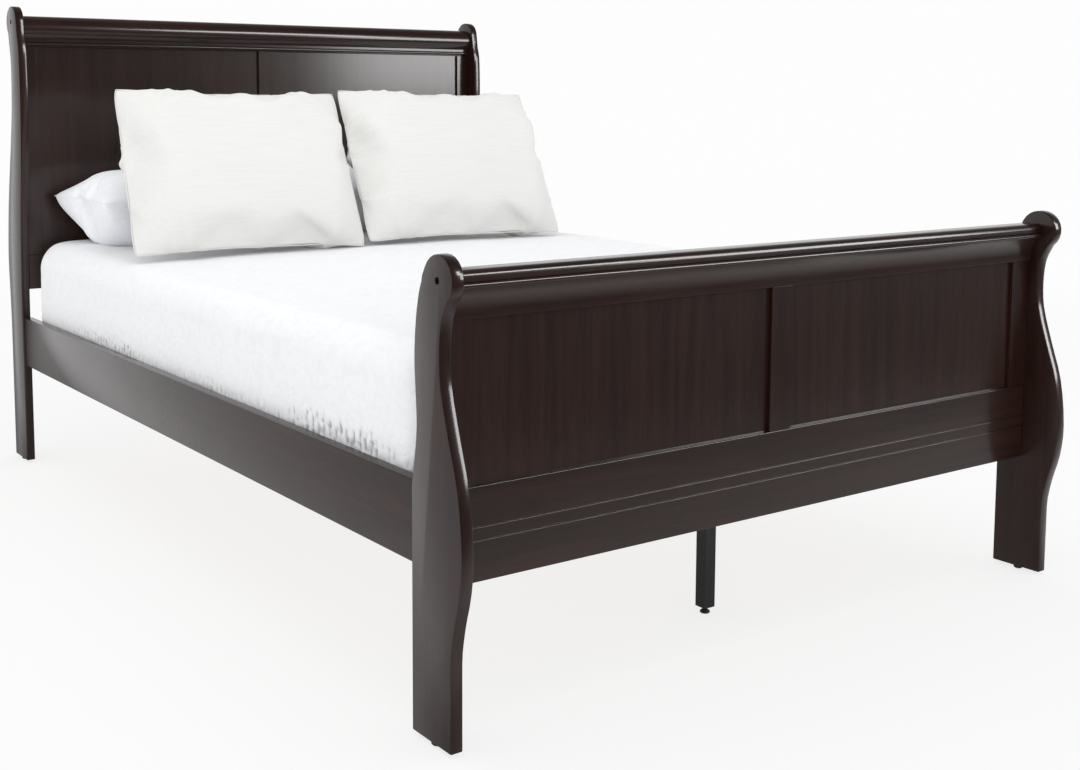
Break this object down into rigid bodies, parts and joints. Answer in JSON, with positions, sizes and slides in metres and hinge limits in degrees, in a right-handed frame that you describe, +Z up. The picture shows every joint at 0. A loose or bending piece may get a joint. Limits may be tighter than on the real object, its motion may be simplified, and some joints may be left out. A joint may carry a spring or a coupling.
{
  "type": "sleigh bed",
  "caption": "Full-size sleigh bed with S-shaped posts, panelled headboard and footboard, hook-on side rails, slats on a legged centre beam, mattress, quilt, pillows and shams.",
  "frame": {"origin": "on the floor, in the middle of the bed's length and width", "axes": "+Z up; +Y from the footboard to the headboard, along the side rails; X across the bed"},
  "size_m": [1.448, 2.161, 1.2045],
  "materials": {
    "cherry_lacquer": "glossy dark cherry lacquer",
    "slat_timber": "planed bare softwood",
    "black_steel": "satin black powder coat",
    "zinc_steel": "zinc plated",
    "black_plastic": "moulded, fine texture",
    "mattress_ticking": "knitted ticking",
    "quilt_cotton": "crinkled matelasse cotton",
    "pillow_cotton": "smooth percale",
    "sham_linen": "slubbed ribbed weave"
  },
  "bodies": {
    "frame": {"foot_post_left": "cherry_lacquer", "foot_post_right": "cherry_lacquer", "head_post_left": "cherry_lacquer", "head_post_right": "cherry_lacquer", "footboard_lower_board": "cherry_lacquer", "footboard_stile_left": "cherry_lacquer", "footboard_stile_centre": "cherry_lacquer", "footboard_stile_right": "cherry_lacquer", "footboard_panel_left": "cherry_lacquer", "footboard_panel_right": "cherry_lacquer", "footboard_frieze": "cherry_lacquer", "footboard_bead": "cherry_lacquer", "footboard_cap": "cherry_lacquer", "headboard_bottom_rail": "cherry_lacquer", "headboard_top_rail": "cherry_lacquer", "headboard_stile_left": "cherry_lacquer", "headboard_stile_centre": "cherry_lacquer", "headboard_stile_right": "cherry_lacquer", "headboard_panel_left": "cherry_lacquer", "headboard_panel_right": "cherry_lacquer", "headboard_crest": "cherry_lacquer", "headboard_bead": "cherry_lacquer", "side_rail_left": "cherry_lacquer", "side_rail_right": "cherry_lacquer", "cleat_left": "slat_timber", "cleat_right": "slat_timber", "centre_beam": "slat_timber", "slat_1": "slat_timber", "slat_2": "slat_timber", "slat_3": "slat_timber", "slat_4": "slat_timber", "slat_5": "slat_timber", "slat_6": "slat_timber", "slat_7": "slat_timber", "slat_8": "slat_timber", "slat_9": "slat_timber", "centre_leg_1": "black_steel", "centre_leg_2": "black_steel", "centre_leg_3": "black_steel", "footboard_bolt_left": "zinc_steel", "footboard_bolt_right": "zinc_steel", "headboard_bolt_left": "zinc_steel", "headboard_bolt_right": "zinc_steel", "foot_rail_hook_left": "zinc_steel", "foot_rail_hook_right": "zinc_steel", "head_rail_hook_left": "zinc_steel", "head_rail_hook_right": "zinc_steel", "foot_glide_left": "black_plastic", "foot_glide_right": "black_plastic", "head_glide_left": "black_plastic", "head_glide_right": "black_plastic"},
    "leveller_1": {"leveller_1": "black_plastic"},
    "leveller_2": {"leveller_2": "black_plastic"},
    "leveller_3": {"leveller_3": "black_plastic"},
    "mattress": {"mattress": "mattress_ticking", "quilt": "quilt_cotton"},
    "pillow_left": {"pillow_left": "pillow_cotton"},
    "pillow_right": {"pillow_right": "pillow_cotton"},
    "sham_left": {"sham_left": "sham_linen"},
    "sham_right": {"sham_right": "sham_linen"}
  },
  "joints": [
    {"name": "leveller_1_screw", "type": "slide", "parent": "frame", "child": "leveller_1", "axis": [0, 0, -1], "range_m": [-0.004, 0.012]},
    {"name": "leveller_2_screw", "type": "slide", "parent": "frame", "child": "leveller_2", "axis": [0, 0, -1], "range_m": [-0.004, 0.012]},
    {"name": "leveller_3_screw", "type": "slide", "parent": "frame", "child": "leveller_3", "axis": [0, 0, -1], "range_m": [-0.004, 0.012]},
    {"name": "mattress_lift", "type": "slide", "parent": "frame", "child": "mattress", "axis": [0, 0, 1], "range_m": [0, 0.45]},
    {"name": "pillow_left_lift", "type": "slide", "parent": "mattress", "child": "pillow_left", "axis": [0, 0, 1], "range_m": [0, 0.3]},
    {"name": "sham_left_lift", "type": "slide", "parent": "pillow_left", "child": "sham_left", "axis": [0, 0, 1], "range_m": [0, 0.3]},
    {"name": "pillow_right_lift", "type": "slide", "parent": "mattress", "child": "pillow_right", "axis": [0, 0, 1], "range_m": [0, 0.3]},
    {"name": "sham_right_lift", "type": "slide", "parent": "pillow_right", "child": "sham_right", "axis": [0, 0, 1], "range_m": [0, 0.3]}
  ]
}
